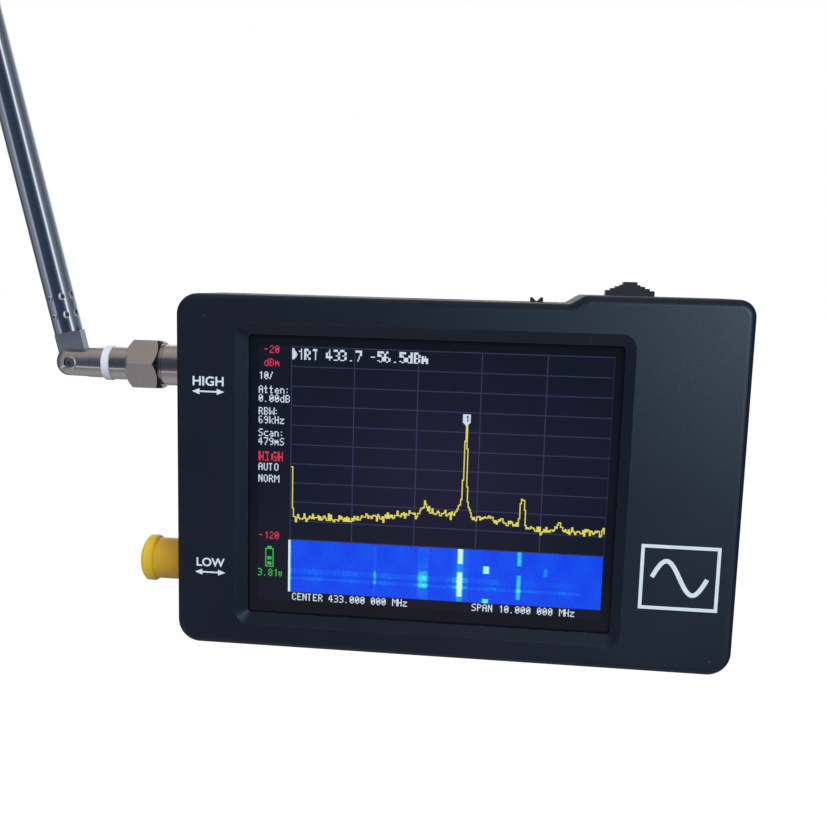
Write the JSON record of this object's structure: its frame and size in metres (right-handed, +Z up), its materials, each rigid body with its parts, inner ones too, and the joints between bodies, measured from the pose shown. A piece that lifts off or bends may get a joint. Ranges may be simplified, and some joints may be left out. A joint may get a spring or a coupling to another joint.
{
  "type": "handheld spectrum analyzer",
  "caption": "Pocket radio spectrum analyzer with a colour touch screen, a jog lever and power switch on top, two side ports, a capped one and one with a folding telescopic antenna.",
  "frame": {"origin": "centre of the flat bottom face, with the case standing upright", "axes": "+X to the right across the screen, +Y from the screen into the case, +Z up"},
  "size_m": [0.1333, 0.0172, 0.1297],
  "materials": {
    "case_plastic": "fine moulded texture",
    "screw_steel": "black zinc",
    "gasket_foam": "closed-cell foam",
    "touch_glass": "glossy",
    "display_glass": "dark, polarised",
    "light_white": "diffusing acrylic",
    "tray_white": "satin",
    "tape": "foam tape",
    "ribbon": "amber polyimide",
    "board": "solder mask",
    "can_tin": "tinned",
    "chip_black": "moulded epoxy",
    "lead_tin": "tinned",
    "ceramic": "ceramic",
    "led_clear": "clear resin",
    "usb_steel": "drawn stainless",
    "black_moulding": "glass-filled nylon",
    "pouch": "laminate pouch",
    "white_moulding": "nylon",
    "lead_wire": "wire insulation",
    "control_black": "satin",
    "pin_steel": "bright",
    "gold": "gold plated",
    "ptfe": "waxy white",
    "cap_yellow": "soft moulded",
    "nickel": "nickel plated",
    "mast_chrome": "bright chrome",
    "spring_bronze": "spring bronze"
  },
  "bodies": {
    "case": {"front_shell": "case_plastic", "rear_shell": "case_plastic", "case_screws": "screw_steel", "window_gasket": "gasket_foam", "touch_panel": "touch_glass", "lcd_glass": "display_glass", "backlight_tray": "tray_white", "light_guide": "light_white", "display_tape": "tape", "lcd_ribbon": "ribbon", "main_board": "board", "rf_shield_cans": "can_tin", "rf_transceivers": "chip_black", "rf_filters": "can_tin", "mixer_chip": "chip_black", "mcu_body": "chip_black", "mcu_leads": "lead_tin", "reference_crystals": "can_tin", "chip_capacitors": "ceramic", "status_leds": "led_clear", "usb_c_shell": "usb_steel", "usb_c_insert": "black_moulding", "battery_cell": "pouch", "battery_pad": "tape", "battery_socket": "white_moulding", "battery_plug": "white_moulding", "battery_leads": "lead_wire", "power_switch_housing": "black_moulding", "jog_housing": "black_moulding", "sma_high_jack": "gold", "sma_low_jack": "gold", "sma_high_insulator": "ptfe", "sma_low_insulator": "ptfe", "sma_high_contact": "gold", "sma_low_contact": "gold"},
    "power_slider": {"power_switch_knob": "control_black"},
    "jog_plunger": {"jog_carrier": "white_moulding", "jog_pin": "pin_steel"},
    "jog_rocker": {"jog_lever": "control_black"},
    "dust_cap": {"port_cap": "cap_yellow"},
    "antenna_plug": {"plug_body": "nickel", "plug_insulator": "ptfe", "plug_centre_pin": "gold", "nut_retaining_ring": "spring_bronze", "spacer_ring": "ptfe"},
    "antenna_nut": {"coupling_nut": "nickel"},
    "antenna_elbow": {"elbow": "nickel", "elbow_rivet": "nickel"},
    "mast_base": {"mast_tang": "nickel", "mast_tube_1": "mast_chrome"},
    "mast_section_2": {"mast_tube_2": "mast_chrome", "friction_sleeve_2": "spring_bronze"},
    "mast_section_3": {"mast_tube_3": "mast_chrome", "friction_sleeve_3": "spring_bronze"},
    "mast_section_4": {"mast_tube_4": "mast_chrome", "friction_sleeve_4": "spring_bronze"},
    "mast_section_5": {"mast_rod": "mast_chrome", "friction_sleeve_5": "spring_bronze", "mast_tip": "mast_chrome"}
  },
  "joints": [
    {"name": "power_switch_slide", "type": "slide", "parent": "case", "child": "power_slider", "axis": [-1, 0, 0], "range_m": [0, 0.002]},
    {"name": "jog_press", "type": "slide", "parent": "case", "child": "jog_plunger", "axis": [0, 0, -1], "range_m": [0, 0.0005]},
    {"name": "jog_toggle", "type": "hinge", "parent": "jog_plunger", "child": "jog_rocker", "pos_m": [0.0274, 0.0013, 0.05775], "axis": [0, 1, 0], "range_deg": [-12, 12]},
    {"name": "dust_cap_pull", "type": "slide", "parent": "case", "child": "dust_cap", "axis": [-1, 0, 0], "range_m": [0, 0.012]},
    {"name": "antenna_unscrew", "type": "slide", "parent": "case", "child": "antenna_plug", "axis": [-1, 0, 0], "range_m": [0, 0.00494]},
    {"name": "nut_turn", "type": "hinge", "parent": "antenna_plug", "child": "antenna_nut", "pos_m": [-0.0525, -0.0022, 0.04636], "axis": [-1, 0, 0], "range_deg": [0, 2540]},
    {"name": "elbow_swivel", "type": "hinge", "parent": "antenna_plug", "child": "antenna_elbow", "pos_m": [-0.0594, -0.0022, 0.04636], "axis": [1, 0, 0], "continuous": true},
    {"name": "elbow_fold", "type": "hinge", "parent": "antenna_elbow", "child": "mast_base", "pos_m": [-0.06525, -0.0022, 0.04636], "axis": [0, 1, 0], "range_deg": [-76.2, 13.8]},
    {"name": "mast_extend_2", "type": "slide", "parent": "mast_base", "child": "mast_section_2", "axis": [-0.2385, 0, 0.9711], "range_m": [0, 0.056]},
    {"name": "mast_extend_3", "type": "slide", "parent": "mast_section_2", "child": "mast_section_3", "axis": [-0.2385, 0, 0.9711], "range_m": [0, 0.056]},
    {"name": "mast_extend_4", "type": "slide", "parent": "mast_section_3", "child": "mast_section_4", "axis": [-0.2385, 0, 0.9711], "range_m": [0, 0.056]},
    {"name": "mast_extend_5", "type": "slide", "parent": "mast_section_4", "child": "mast_section_5", "axis": [-0.2385, 0, 0.9711], "range_m": [0, 0.056]}
  ],
  "couplings": [
    {"joint": "nut_turn", "follows": "antenna_unscrew", "rad_per_m": 8904.7}
  ]
}
